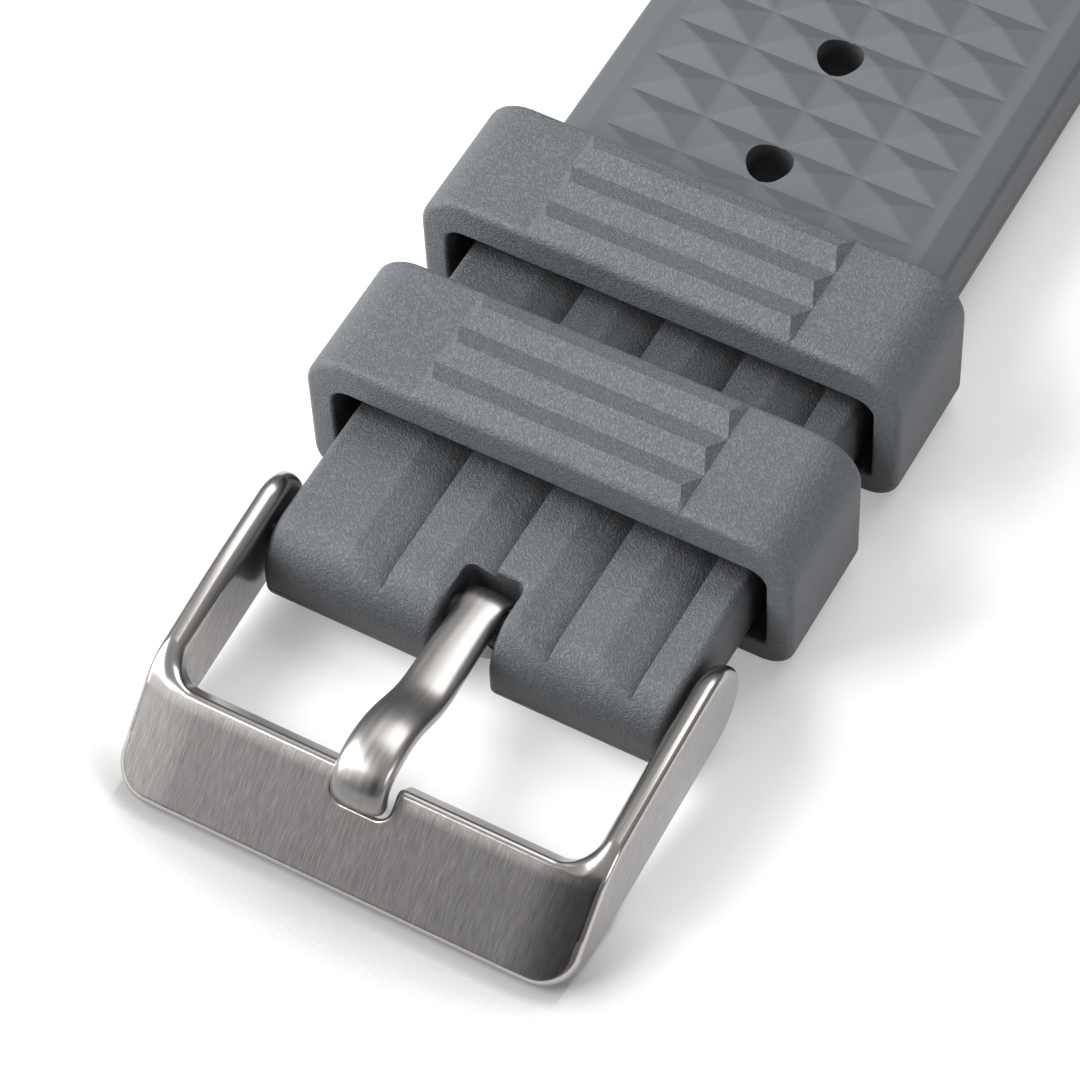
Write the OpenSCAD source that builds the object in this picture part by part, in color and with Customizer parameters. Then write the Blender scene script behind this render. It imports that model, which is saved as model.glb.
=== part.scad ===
// Buckle side of a moulded rubber watch strap, with its two keepers, a pin buckle and both spring bars.
// The strap runs along Y from the buckle to the lugs, X is its width, and Z = 0 is the table it lies on.
// Along the strap, lengths are counted from the axis of the buckle's bar.

/* [Strap] */
// Width of the strap
strap_w = 20; // [18:0.5:22]
// Distance between the axes of the two bars
strap_len = 75; // [72:1:90]
// Thickness of the strap between the buckle and the lug end
strap_t = 3.85; // [3.6:0.05:4.2]
// Distance from the buckle's bar to the strap's front edge
nose_reach = 2.15; // [2:0.05:2.4]
// Radius over the top of the front edge
nose_r = 2.3; // [1.8:0.1:2.5]
// Distance from the lug bar to the strap's end
lug_reach = 2.4; // [2:0.1:3]
// Length of the thick lug end, counted back from the lug bar
lug_end_len = 10; // [8:1:12]

/* [Flutes and slot] */
// Number of flutes across the strap
flute_count = 4; // [3:1:4]
// Distance from one flute to the next
flute_pitch = 4.1; // [3.9:0.05:4.2]
// Width of one flute
flute_w = 2.25; // [1.6:0.05:2.6]
// Depth of a flute at its steep side
flute_depth = 0.45; // [0.3:0.05:0.6]
// Width of the slot that the tongue stands in
slot_w = 2.9; // [2.7:0.1:3.4]
// Distance from the bar's axis to the slot's inner end
slot_reach = 1.6; // [1.55:0.05:2]

/* [Pyramids and holes] */
// Number of pyramids across the strap
pyramid_columns = 4; // [3:1:4]
// Width of one pyramid
pyramid_w = 4; // [3.6:0.1:4.2]
// Number of pyramid rows along the strap
pyramid_rows = 18; // [12:3:18]
// Length of one pyramid along the strap
pyramid_l = 2.4; // [2.2:0.05:2.45]
// Height of one pyramid
pyramid_h = 0.45; // [0.2:0.05:0.6]
// Rows from one hole to the next
hole_step = 3; // [3:1:6]
// Diameter of a hole
hole_d = 2.2; // [1.8:0.1:2.6]

/* [Keepers] */
// Depth of a keeper along the strap
keeper_depth = 6.7; // [6:0.1:7.5]
// Thickness of a keeper's sides
keeper_side = 1.35; // [1.1:0.05:1.6]
// Thickness of a keeper's lower bar
keeper_floor = 1.4; // [1.2:0.05:1.6]
// Thickness of a keeper's upper bar
keeper_roof = 2.05; // [1.6:0.05:2.4]
// Room over the strap for the tail
tail_room = 1.3; // [1.1:0.1:2.4]
// Play between the strap and a keeper's sides
side_play = 0.85; // [0.4:0.05:1]
// Number of ridges on a keeper
ridge_count = 3; // [2:1:4]
// Height of a keeper's ridges
ridge_h = 0.4; // [0.2:0.05:0.5]
// Length of the ridges across the strap
ridge_len = 13.4; // [12:0.2:15]

/* [Buckle] */
// Play between the strap and each side arm
buckle_play = 0.25; // [0.2:0.05:0.4]
// Thickness of the side arms
arm_t = 1.1; // [1:0.05:1.3]
// Height of the side arms at the pivot
arm_h = 4.7; // [4.3:0.1:4.8]
// Distance from the bar's axis to the bend where the arms slope down
arm_l = 9.1; // [8.8:0.1:9.4]
// Length of the slope, from the bend to the front edge
face_l = 6.2; // [5.8:0.1:6.4]
// Distance from the bend down the slope to the front bar's top edge
bar_drop = 0.7; // [0.5:0.1:0.9]
// Thickness of the front bar
face_t = 1.5; // [1.2:0.1:1.7]
// Angle of the slope
face_angle = 44; // [42:1:46]
// Width of the tongue
tongue_w = 2.2; // [2:0.1:2.3]
// Thickness of the tongue
tongue_t = 1.24; // [1.1:0.02:1.3]

/* [Spring bars] */
// Diameter of a bar's tube
bar_d = 1.5; // [1.4:0.05:1.5]
// Diameter of the tips
tip_d = 0.76; // [0.6:0.02:0.78]
// Length of a lug bar tip outside the strap
lug_tip_out = 1.1; // [0.8:0.1:1.3]
// Turns of the spring in a bar
spring_turns = 22; // [12:2:24]

/* [Hidden] */
$fn = 64;

rubber = "#5f666c";
steel = "#a8a29c";
polished = "#c4c2be";

// Running fit of round parts, and of a keeper under the strap
fit = 0.05;
// How far a cut runs past the surface it goes through
past = 1;

// Heights of the strap over the table
strap_low = keeper_floor + fit;
strap_top = strap_low + strap_t;
bar_z = strap_low + strap_t / 2;
lug_bar_z = strap_top / 2;

// Ends of the strap, and the middle of the whole object along Y
nose_y = -nose_reach;
lug_end_y = strap_len + lug_reach;
chin_r = 0.6;
lug_end_r = 2.1;
lug_thick_y = strap_len - lug_end_len;
lug_taper_l = 9;
mid_y = (lug_end_y - arm_l - face_l * cos(face_angle)) / 2;

// Flutes
flute_end_y = 21.8;
flute_wall = 0.1;
flute_last_x = flute_pitch * flute_count / 2;
front_edge_cut = 0.35;

// Pyramid field
field_y = 23.6;
field_w = pyramid_columns * pyramid_w;
field_l = pyramid_rows * pyramid_l;
field_base = 0.8;
bevel_w = 1.4;
bevel_h = 0.55;
hole_y = field_y + 1.5 * pyramid_l;

// Keepers
front_keeper_y = 5.85;
rear_keeper_y = 16.1;
keeper_in_w = strap_w + 2 * side_play;
keeper_w = keeper_in_w + 2 * keeper_side;
keeper_in_top = strap_top + tail_room;
keeper_top = keeper_in_top + keeper_roof;
keeper_r = 2.2;
keeper_low_r = 1.6;
window_r = 0.9;
window_low_r = 0.3;
ridge_hip = 0.52;
ridge_base = 0.4;

// Slot
slot_r = 0.4;

// Buckle, with the corners of its side view as lengths and heights
arm_x = strap_w / 2 + buckle_play;
buckle_w = 2 * (arm_x + arm_t);
arm_r = arm_h / 2;
arm_end_y = 0.3;
arm_top = [arm_end_y, bar_z + arm_r];
down_slope = [-cos(face_angle), -sin(face_angle)];
into_slope = [sin(face_angle), -cos(face_angle)];
bend_rise = 1.475;
bend = [-arm_l, bar_z + bend_rise];
bar_top = bend + bar_drop * down_slope;
bar_back = bar_top + face_t * into_slope;
face_low = bend + face_l * down_slope;
face_toe = 0.4;
toe_y = face_low[0] + face_toe;
heel_y = bar_back[0] - bar_back[1] / tan(face_angle);
face_corner_r = 1.8;
opening_r = 1.4;
round_reach = 0.9;
notch_w = 2.8;
notch_l = 1.6;
notch_r = 0.6;
frame_hole_depth = 0.65;

// Middle curve of the tongue in three parts, as lengths and heights from the bar's axis
loop_wall = 0.65;
loop_r = bar_d / 2 + fit + loop_wall;
start_h = loop_r - tongue_t / 2;
tongue_run = [[0, start_h], [-1.5, start_h + 0.15], [-2.5, 0.97], [-3.9, 1]];
tongue_rise = [[-3.9, 1], [-5.6, 1.04], [-7.2, 1.97], [-8.9, 1.94]];
tongue_tip = [[-8.9, 1.94], [-9.8, 1.92], [-10.45, 1.55], [-10.5, 0.65]];
curve_steps = 8;

// Spring bars
tube_inset = 0.4;
tube_wall = 0.18;
tube_lip = 0.3;
tip_play = 0.03;
tube_l = strap_w - 2 * tube_inset;
tube_bore = bar_d / 2 - tube_wall;
shoulder_step = 0.05;
shoulder_r = tip_d / 2 + shoulder_step;
lip_r = shoulder_r + tip_play;
tip_head_r = tube_bore - tip_play;
tip_taper = 0.02;
tip_head_l = 1;
frame_tip_end = arm_x + frame_hole_depth - fit;
lug_tip_end = strap_w / 2 + lug_tip_out;
head_x = tube_l / 2 - tube_lip;
wire_r = 0.09;
coil_r = tip_head_r - wire_r - tip_play;
spring_l = 2 * (head_x - tip_head_l - fit);
rings_per_turn = 8;
wire_sides = 6;

// Moves the object from the buckle bar's axis to its own middle
module placed() translate([0, -mid_y, 0]) children();

// Extrudes a side view, drawn as length and height, across the strap
module across(w) rotate([90, 0, 90]) linear_extrude(w, center = true) children();

// Extrudes a front view, drawn as width and height, along the strap from a given place
module along(y, l) translate([0, y + l, 0]) rotate([90, 0, 0]) linear_extrude(l) children();

// Flat figure with four round corners, between two heights
module round_panel(w, low, top, low_r, top_r) {
    x = w / 2;
    polygon([[low_r - x, low], [x - low_r, low], [x, low + low_r], [x, top - top_r],
        [x - top_r, top], [top_r - x, top], [-x, top - top_r], [-x, low + low_r]]);
    for (side = [-1, 1]) {
        translate([side * (x - low_r), low + low_r]) circle(low_r);
        translate([side * (x - top_r), top - top_r]) circle(top_r);
    }
}

// Points of a row of even teeth that start and end at the foot
function teeth(start, count, pitch, foot, height) = concat(
    [[start, foot]],
    [for (i = [0:count - 1], half = [0.5, 1])
        [start + (i + half) * pitch, half == 0.5 ? foot + height : foot]]);

// Toothed outline closed by a flat base under it
module tooth_profile(start, count, pitch, foot, height, base)
    polygon(concat(teeth(start, count, pitch, foot, height),
        [[start + count * pitch, foot - base], [start, foot - base]]));

module strap_side() {
    polygon([[nose_y + nose_r, strap_top], [lug_end_y - lug_end_r, strap_top],
        [lug_end_y, strap_top - lug_end_r], [lug_end_y, lug_end_r], [lug_end_y - lug_end_r, 0],
        [lug_thick_y, 0], [lug_thick_y - lug_taper_l, strap_low],
        [nose_y + chin_r, strap_low], [nose_y, strap_low + chin_r], [nose_y, strap_top - nose_r]]);
    translate([nose_y + nose_r, strap_top - nose_r]) circle(nose_r);
    translate([nose_y + chin_r, strap_low + chin_r]) circle(chin_r);
    translate([lug_end_y - lug_end_r, strap_top - lug_end_r]) circle(lug_end_r);
    translate([lug_end_y - lug_end_r, lug_end_r]) circle(lug_end_r);
}

// Each flute slopes down from the left and ends in a steep wall on the right
module flutes() {
    for (i = [0:flute_count - 1]) {
        x = flute_last_x - i * flute_pitch;
        along(nose_y - past, flute_end_y - nose_y + past)
            polygon([[x - flute_w, strap_top], [x - flute_wall, strap_top - flute_depth],
                [x, strap_top], [x, strap_top + past], [x - flute_w, strap_top + past]]);
    }
}

// Bevels along both top edges, wider beside the pyramids than beside the flutes
module edge_cuts() {
    x = strap_w / 2;
    for (side = [0, 1]) mirror([side, 0, 0]) {
        along(nose_y - past, field_y - nose_y)
            polygon([[x - front_edge_cut, strap_top], [x, strap_top - front_edge_cut],
                [x + past, strap_top - front_edge_cut], [x + past, strap_top + past],
                [x - front_edge_cut, strap_top + past]]);
        along(field_y - past, lug_end_y - field_y + 2 * past)
            polygon([[x - bevel_w, strap_top], [x, strap_top - bevel_h],
                [x + past, strap_top - bevel_h], [x + past, strap_top + past],
                [x - bevel_w, strap_top + past]]);
    }
}

module tongue_slot() {
    x = slot_w / 2;
    front = nose_y - past;
    linear_extrude(strap_top + past) {
        translate([-x, front]) square([slot_w, slot_reach - slot_r - front]);
        translate([slot_r - x, front]) square([slot_w - 2 * slot_r, slot_reach - front]);
        for (side = [-1, 1])
            translate([side * (x - slot_r), slot_reach - slot_r]) circle(slot_r);
    }
}

// Pyramids side by side, where a row of teeth across meets a row of teeth along
module pyramid_field() {
    intersection() {
        along(field_y, field_l)
            tooth_profile(-field_w / 2, pyramid_columns, pyramid_w, strap_top, pyramid_h, field_base);
        across(field_w)
            tooth_profile(field_y, pyramid_rows, pyramid_l, strap_top, pyramid_h, field_base);
    }
}

module bar_bore(y, z) {
    translate([0, y, z]) rotate([0, 90, 0])
        cylinder(h = strap_w + 2 * past, r = bar_d / 2 + fit, center = true);
}

module strap() {
    color(rubber) placed() difference() {
        union() {
            difference() {
                across(strap_w) strap_side();
                flutes();
                edge_cuts();
                translate([-field_w / 2, field_y, strap_top - field_base])
                    cube([field_w, field_l, field_base + past]);
            }
            pyramid_field();
        }
        tongue_slot();
        bar_bore(0, bar_z);
        bar_bore(strap_len, lug_bar_z);
        for (y = [hole_y:hole_step * pyramid_l:field_y + field_l])
            translate([0, y, -past]) cylinder(h = strap_top + 2 * past, d = hole_d);
    }
}

module keeper(y) {
    color(rubber) placed() {
        difference() {
            along(y, keeper_depth) difference() {
                round_panel(keeper_w, 0, keeper_top, keeper_low_r, keeper_r);
                round_panel(keeper_in_w, keeper_floor, keeper_in_top, window_low_r, window_r);
            }
            translate([-ridge_len / 2, y - past, keeper_top - ridge_base])
                cube([ridge_len, keeper_depth + 2 * past, ridge_base + past]);
        }
        keeper_ridges(y);
    }
}

// Ridges across the keeper, each with sloped ends like a hip roof
module keeper_ridges(y) {
    x = ridge_len / 2;
    intersection() {
        across(ridge_len)
            tooth_profile(y, ridge_count, keeper_depth / ridge_count, keeper_top, ridge_h, ridge_base);
        along(y, keeper_depth)
            polygon([[-x, keeper_top - ridge_base], [x, keeper_top - ridge_base], [x, keeper_top],
                [x - ridge_hip, keeper_top + ridge_h], [ridge_hip - x, keeper_top + ridge_h],
                [-x, keeper_top]]);
    }
}

module arm_side() {
    polygon([arm_top, bend, face_low, [toe_y, 0], [heel_y, 0], [arm_end_y, bar_z - arm_r]]);
    translate([arm_end_y, bar_z]) circle(arm_r);
}

// Lays a figure on the slope: its Y runs up the slope and is zero at the bend
module on_slope() {
    translate([0, bend[0], bend[1]]) rotate([face_angle, 0, 0])
        translate([0, 0, -4 * face_t]) linear_extrude(4 * face_t + past) children();
}

// Square corner with a round of a given radius taken out of it, at the origin
module corner(r) {
    side = round_reach * r;
    difference() {
        translate([-side, -past]) square([side + past, side + past]);
        translate([-r, r]) circle(r);
    }
}

// Fillets where the front bar's top edge meets the arms, no deeper than the bar
module opening_fillets() {
    up_arm = (arm_top - bend) / norm(arm_top - bend);
    arm_back = bend + face_t / (up_arm * into_slope) * up_arm;
    intersection() {
        across(2 * arm_x + arm_t) polygon([bar_top, bend, arm_back, bar_back]);
        on_slope() for (side = [0, 1]) mirror([side, 0, 0])
            translate([arm_x, -bar_drop]) corner(opening_r);
    }
}

module tongue_notch() {
    x = notch_w / 2;
    translate([0, -bar_drop]) {
        translate([-x, notch_r - notch_l]) square([notch_w, notch_l - notch_r + past]);
        translate([notch_r - x, -notch_l]) square([notch_w - 2 * notch_r, notch_l]);
        for (side = [-1, 1])
            translate([side * (x - notch_r), notch_r - notch_l]) circle(notch_r);
    }
}

module buckle_frame() {
    color(steel) placed() difference() {
        union() {
            for (side = [-1, 1])
                translate([side * (arm_x + arm_t / 2), 0, 0]) across(arm_t) arm_side();
            across(2 * arm_x + arm_t)
                polygon([bar_top, face_low, [toe_y, 0], [heel_y, 0], bar_back]);
            opening_fillets();
        }
        on_slope() {
            tongue_notch();
            for (side = [0, 1]) mirror([side, 0, 0])
                translate([buckle_w / 2, -face_l]) corner(face_corner_r);
        }
        for (side = [-90, 90]) translate([0, 0, bar_z]) rotate([0, side, 0])
            translate([0, 0, arm_x - past])
                cylinder(h = frame_hole_depth + past, r = tip_d / 2 + fit);
    }
}

function curve_point(p, t) = pow(1 - t, 3) * p[0] + 3 * pow(1 - t, 2) * t * p[1]
    + 3 * (1 - t) * t * t * p[2] + t * t * t * p[3];
function curve_slope(p, t) = pow(1 - t, 2) * (p[1] - p[0])
    + 2 * (1 - t) * t * (p[2] - p[1]) + t * t * (p[3] - p[2]);
function unit(v) = v / norm(v);

// One edge of the tongue, at a given distance to the side of its middle curve
function tongue_edge(off) = [for (p = [tongue_run, tongue_rise, tongue_tip], i = [0:curve_steps])
    if (i > 0 || p == tongue_run)
        let (t = i / curve_steps, d = unit(curve_slope(p, t))) curve_point(p, t) + off * [d[1], -d[0]]];

function backwards(list) = [for (i = [len(list) - 1:-1:0]) list[i]];

module tongue() {
    half = tongue_t / 2;
    color(polished) placed() difference() {
        translate([0, 0, bar_z]) across(tongue_w) {
            polygon(concat(tongue_edge(half), backwards(tongue_edge(-half))));
            translate(tongue_tip[3]) circle(half);
            circle(loop_r);
        }
        bar_bore(0, bar_z);
    }
}

// Tube of a spring bar, drawn in at both ends so that the tips can't leave it
module bar_tube(y, z) {
    color(steel) placed() translate([0, y, z]) rotate([0, 90, 0]) difference() {
        cylinder(h = tube_l, d = bar_d, center = true);
        cylinder(h = tube_l - 2 * tube_lip, r = tube_bore, center = true);
        cylinder(h = tube_l + 2 * past, r = lip_r, center = true);
    }
}

// Tip with a head inside the tube, a shoulder out to the strap's side and the thin end that pivots
module bar_tip(y, z, end_x, side) {
    color(polished) placed() translate([0, y, z]) rotate([0, side * 90, 0]) {
        translate([0, 0, head_x - tip_head_l])
            cylinder(h = tip_head_l, r1 = tip_head_r, r2 = tip_head_r - tip_taper);
        translate([0, 0, head_x - tip_head_l / 2])
            cylinder(h = strap_w / 2 - head_x + tip_head_l / 2, r1 = shoulder_r, r2 = shoulder_r - tip_taper);
        translate([0, 0, head_x]) cylinder(h = end_x - head_x, d = tip_d);
    }
}

// Points of one ring round the wire, at a given share of the spring's length
function wire_ring(share) =
    let (turn = 360 * spring_turns * share, x = (share - 0.5) * (spring_l - 2 * wire_r),
        out = [0, cos(turn), sin(turn)], side = [1, 0, 0])
    [for (i = [0:wire_sides - 1]) let (a = 360 * i / wire_sides)
        side * x + (coil_r + wire_r * cos(a)) * out + wire_r * sin(a) * side];

module bar_spring(y, z) {
    rings = spring_turns * rings_per_turn;
    points = [for (i = [0:rings]) each wire_ring(i / rings)];
    skin = [for (i = [0:rings - 1], j = [0:wire_sides - 1])
        let (a = i * wire_sides, b = a + wire_sides, k = (j + 1) % wire_sides)
        each [[a + j, a + k, b + k], [a + j, b + k, b + j]]];
    first = [for (j = [wire_sides - 1:-1:0]) j];
    last = [for (j = [0:wire_sides - 1]) rings * wire_sides + j];
    color(polished) placed() translate([0, y, z])
        polyhedron(points, concat(skin, [first, last]), convexity = 10);
}

module front_keeper() keeper(front_keeper_y);
module rear_keeper() keeper(rear_keeper_y);
module buckle_bar_tube() bar_tube(0, bar_z);
module buckle_bar_spring() bar_spring(0, bar_z);
module buckle_bar_tip_left() bar_tip(0, bar_z, frame_tip_end, -1);
module buckle_bar_tip_right() bar_tip(0, bar_z, frame_tip_end, 1);
module lug_bar_tube() bar_tube(strap_len, lug_bar_z);
module lug_bar_spring() bar_spring(strap_len, lug_bar_z);
module lug_bar_tip_left() bar_tip(strap_len, lug_bar_z, lug_tip_end, -1);
module lug_bar_tip_right() bar_tip(strap_len, lug_bar_z, lug_tip_end, 1);

strap();
front_keeper();
rear_keeper();
buckle_frame();
tongue();
buckle_bar_tube();
buckle_bar_spring();
buckle_bar_tip_left();
buckle_bar_tip_right();
lug_bar_tube();
lug_bar_spring();
lug_bar_tip_left();
lug_bar_tip_right();
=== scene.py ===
import math

import bmesh
import bpy
import numpy as np
from mathutils import Matrix, Vector


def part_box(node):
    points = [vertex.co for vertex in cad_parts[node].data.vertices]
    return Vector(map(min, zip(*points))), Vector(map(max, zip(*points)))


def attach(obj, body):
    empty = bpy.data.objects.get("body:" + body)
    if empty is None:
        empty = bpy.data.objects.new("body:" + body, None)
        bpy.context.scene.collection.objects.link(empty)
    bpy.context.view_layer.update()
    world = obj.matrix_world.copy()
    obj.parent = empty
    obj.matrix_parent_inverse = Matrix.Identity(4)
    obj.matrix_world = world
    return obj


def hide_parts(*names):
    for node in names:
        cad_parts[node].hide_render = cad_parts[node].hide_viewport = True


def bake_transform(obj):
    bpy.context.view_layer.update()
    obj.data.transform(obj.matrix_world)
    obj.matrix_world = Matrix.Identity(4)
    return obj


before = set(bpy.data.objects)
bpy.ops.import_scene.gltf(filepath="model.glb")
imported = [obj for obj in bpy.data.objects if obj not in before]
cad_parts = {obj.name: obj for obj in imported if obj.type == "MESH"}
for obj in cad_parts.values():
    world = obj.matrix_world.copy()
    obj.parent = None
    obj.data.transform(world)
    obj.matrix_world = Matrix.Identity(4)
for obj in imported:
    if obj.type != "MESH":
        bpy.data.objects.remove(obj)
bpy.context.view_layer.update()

mm = 0.001


def barAxis(nodeName):
    low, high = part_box(nodeName)
    return (low[1] + high[1]) / 2 / mm, (low[2] + high[2]) / 2 / mm


barY, barZ = barAxis("buckle_bar_tube")  # where the buckle's bar lies in the frame
lugY, lugZ = barAxis("lug_bar_tube")
lugY -= barY


# Small helpers for meshes

def addObject(name, data):
    made = bpy.data.objects.new(name, data)
    bpy.context.scene.collection.objects.link(made)
    return made


def newPiece(name, points, faces, material, body):
    points = np.array(points, float) + (0, barY, 0)
    mesh = bpy.data.meshes.new(name)
    mesh.from_pydata((points * mm).tolist(), [], [list(face) for face in faces])
    mesh.validate()
    mesh.shade_smooth()
    mesh.materials.append(material)
    piece = addObject(name, mesh)
    piece["rideOn"] = body
    return piece


def storeValue(mesh, name, values):
    layer = mesh.attributes.new(name, "FLOAT", "POINT")
    layer.data.foreach_set("value", np.asarray(values, np.float32))


def mergePoints(mesh, distance, turnOutwards):
    bm = bmesh.new()
    bm.from_mesh(mesh)
    bmesh.ops.remove_doubles(bm, verts=bm.verts, dist=distance)
    if turnOutwards:
        bmesh.ops.recalc_face_normals(bm, faces=bm.faces)
    bm.to_mesh(mesh)
    bm.free()


def tidyNormals(piece):
    mergePoints(piece.data, 1e-6, True)
    piece.data.shade_smooth()


def keepMesh(piece):
    graph = bpy.context.evaluated_depsgraph_get()
    shaped = piece.evaluated_get(graph)
    made = bpy.data.meshes.new_from_object(shaped, preserve_all_data_layers=True, depsgraph=graph)
    piece.modifiers.clear()
    old = piece.data
    piece.data = made
    bpy.data.meshes.remove(old)
    made.name = piece.name


def softEdges(piece, angle):
    piece.data.shade_smooth()
    piece.data.set_sharp_from_angle(angle=math.radians(angle))
    even = piece.modifiers.new("even normals", "WEIGHTED_NORMAL")
    even.keep_sharp = True
    keepMesh(piece)


def arcPoints(centre, radius, start, stop, steps):
    # A round of a side view: place, height and which way the surface faces there
    for k in range(steps + 1):
        a = math.radians(start + (stop - start) * k / steps)
        yield (centre[0] + radius * math.cos(a), centre[1] + radius * math.sin(a),
               math.cos(a), math.sin(a))


def tubeFaces(rings, sides):
    # Rings of points joined into a closed tube, with a flat face at each end
    faces = []
    for i in range(rings - 1):
        for k in range(sides):
            a, b = i * sides + k, i * sides + (k + 1) % sides
            faces.append((a, b, b + sides, a + sides))
    return faces + [tuple(range(sides - 1, -1, -1)), tuple(range((rings - 1) * sides, rings * sides))]


def lathed(profile, y, z, segments=48):
    # Turns a closed outline, given as place across the strap and radius, round a bar's axis
    points, faces = [], []
    count = len(profile)
    for k in range(segments):
        a = 2 * math.pi * k / segments
        points += [(x, y + r * math.cos(a), z + r * math.sin(a)) for x, r in profile]
        after = (k + 1) % segments
        for i in range(count):
            j = (i + 1) % count
            if profile[i][1] > 0 or profile[j][1] > 0:
                faces.append((k * count + i, k * count + j, after * count + j, after * count + i))
    return points, faces


def roundedCorner(qx, qy, radius):
    # Distance from an outline with a round corner, below zero inside it
    return np.hypot(np.maximum(qx, 0), np.maximum(qy, 0)) + np.minimum(np.maximum(qx, qy), 0) - radius


# Small helpers for node trees

def addNode(tree, kind, sockets=None, **settings):
    made = tree.nodes.new(kind)
    for key, value in settings.items():
        setattr(made, key, value)
    for key, value in (sockets or {}).items():
        if isinstance(value, bpy.types.NodeSocket):
            tree.links.new(value, made.inputs[key])
        else:
            made.inputs[key].default_value = value
    return made


def calc(tree, operation, *values):
    return addNode(tree, "ShaderNodeMath", dict(enumerate(values)), operation=operation).outputs[0]


def product(tree, first, *others):
    for other in others:
        first = calc(tree, "MULTIPLY", first, other)
    return first


def remap(tree, value, low, high, toLow, toHigh):
    sockets = {0: value, 1: low, 2: high, 3: toLow, 4: toHigh}
    return addNode(tree, "ShaderNodeMapRange", sockets).outputs[0]


def mixed(tree, share, first, second):
    return addNode(tree, "ShaderNodeMix", {0: share, 2: first, 3: second}).outputs[0]


def tint(tree, share, first, second):
    sockets = {0: share, 6: (*first, 1), 7: (*second, 1)}
    return addNode(tree, "ShaderNodeMix", sockets, data_type="RGBA").outputs[2]


def dimmed(tree, colour, share):
    sockets = {0: colour, "Scale": share}
    return addNode(tree, "ShaderNodeVectorMath", sockets, operation="SCALE").outputs[0]


def split(tree, place):
    return addNode(tree, "ShaderNodeSeparateXYZ", {0: place}).outputs


def vector(tree, sockets):
    return addNode(tree, "ShaderNodeCombineXYZ", sockets).outputs[0]


def newTree(name, sockets):
    tree = bpy.data.node_groups.new(name, "GeometryNodeTree")
    tree.interface.new_socket("Mesh", in_out="INPUT", socket_type="NodeSocketGeometry")
    for label, kind in sockets.items():
        tree.interface.new_socket(label, in_out="INPUT", socket_type="NodeSocket" + kind)
    tree.interface.new_socket("Mesh", in_out="OUTPUT", socket_type="NodeSocketGeometry")
    return tree, tree.nodes.new("NodeGroupInput").outputs, tree.nodes.new("NodeGroupOutput").inputs


def runTree(piece, tree, values):
    modifier = piece.modifiers.new(tree.name, "NODES")
    modifier.node_group = tree
    for item in tree.interface.items_tree:
        if item.in_out == "INPUT" and item.name in values:
            modifier[item.identifier] = values[item.name]
    keepMesh(piece)


def endTree(tree, geometry, material, output):
    real = addNode(tree, "GeometryNodeRealizeInstances", {0: geometry}).outputs[0]
    done = addNode(tree, "GeometryNodeSetMaterial", {"Geometry": real, "Material": material}).outputs[0]
    tree.links.new(done, output)


def meshPlace(tree):
    return split(tree, addNode(tree, "GeometryNodeInputPosition").outputs[0])


def stored(tree, name):
    return addNode(tree, "GeometryNodeInputNamedAttribute", {"Name": name}, data_type="FLOAT").outputs[0]


def tent(tree, place, length):
    # Rises from 0 to 1 and falls back to 0 over each length
    turns = calc(tree, "DIVIDE", place, length)
    return calc(tree, "MULTIPLY", calc(tree, "PINGPONG", turns, 0.5), 2.0)


def lifted(tree, mesh, height):
    shift = vector(tree, {2: height})
    return addNode(tree, "GeometryNodeSetPosition", {"Geometry": mesh, "Offset": shift}).outputs[0]


# Materials

noiseSpan = (0.3, 0.7)  # where nearly all values of a noise lie


def newMaterial(name):
    material = bpy.data.materials.new(name)
    material.use_nodes = True
    tree = material.node_tree
    shader = tree.nodes["Principled BSDF"]
    place = addNode(tree, "ShaderNodeTexCoord").outputs["Object"]
    return material, tree, shader, place


def noise(tree, place, scale, detail=2.0, rough=0.5, twist=0.0, stretch=(1, 1, 1), turn=0.0):
    turned = addNode(tree, "ShaderNodeMapping", {"Vector": place, "Rotation": (turn, 0, 0)})
    pulled = addNode(tree, "ShaderNodeMapping", {"Vector": turned.outputs[0], "Scale": stretch})
    sockets = {"Vector": pulled.outputs[0], "Scale": scale, "Detail": detail,
               "Roughness": rough, "Distortion": twist}
    return addNode(tree, "ShaderNodeTexNoise", sockets).outputs[0]


def openness(tree, reach):
    return addNode(tree, "ShaderNodeAmbientOcclusion", {"Distance": reach * mm}).outputs["AO"]


def addBump(tree, shader, height):
    bump = addNode(tree, "ShaderNodeBump", {"Height": height, "Distance": 1.0, "Strength": 1.0})
    tree.links.new(bump.outputs[0], shader.inputs["Normal"])


rubberLooks = {
    "dark": (0.082, 0.089, 0.097),
    "light": (0.110, 0.119, 0.129),
    "shaded": 0.28,  # share of the colour left where the rubber is closely covered, a painted shade
    "coverShade": 3.3,  # mm, how near a cover has to be for that painted shade
    "covered": (0.3, 0.86),  # openness at which that painted shade is full and at which it ends
    "paintedNoseShade": 0.46,  # share of the colour left at the foot of the nose, a painted shade that darkens it as if it lay in shadow
    "nose": (-2.1, -0.4),  # mm, from full painted shade to none
    "grain": 4800,  # bends of the wrinkled grain per metre
    "wrinkles": 25.0,  # phase turned per unit of noise, so more gives finer wrinkles
    "specks": 14000,  # specks per metre
    "speckHeight": 1.4,  # beside wrinkles of height 1
    "clouds": 260,  # slow changes of tone per metre
    "grainDepth": 0.0098,  # mm
    "grainShade": 0.19,  # painted shade: how much darker the grain's hollows are, as a share
    "smoothDepth": 0.0012,  # mm, grain in the pyramid field
    "smoothShade": 0.15,  # share of the hollows' painted shade that the pyramid field keeps
    "fieldShade": 0.93,  # tone of the pyramid field beside the rest of the strap
    "fieldBlur": 0.3,  # mm, half the width over which the field begins
    "seamZ": 2.25,  # mm, where the mould's halves met on the strap
    "seamSide": (0.02, 0.09),  # mm from the seam's middle, where its side starts and ends
    "rough": (0.52, 0.64),  # roughness in the hollows and on the wrinkles
    "specular": 0.45,
}
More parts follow.
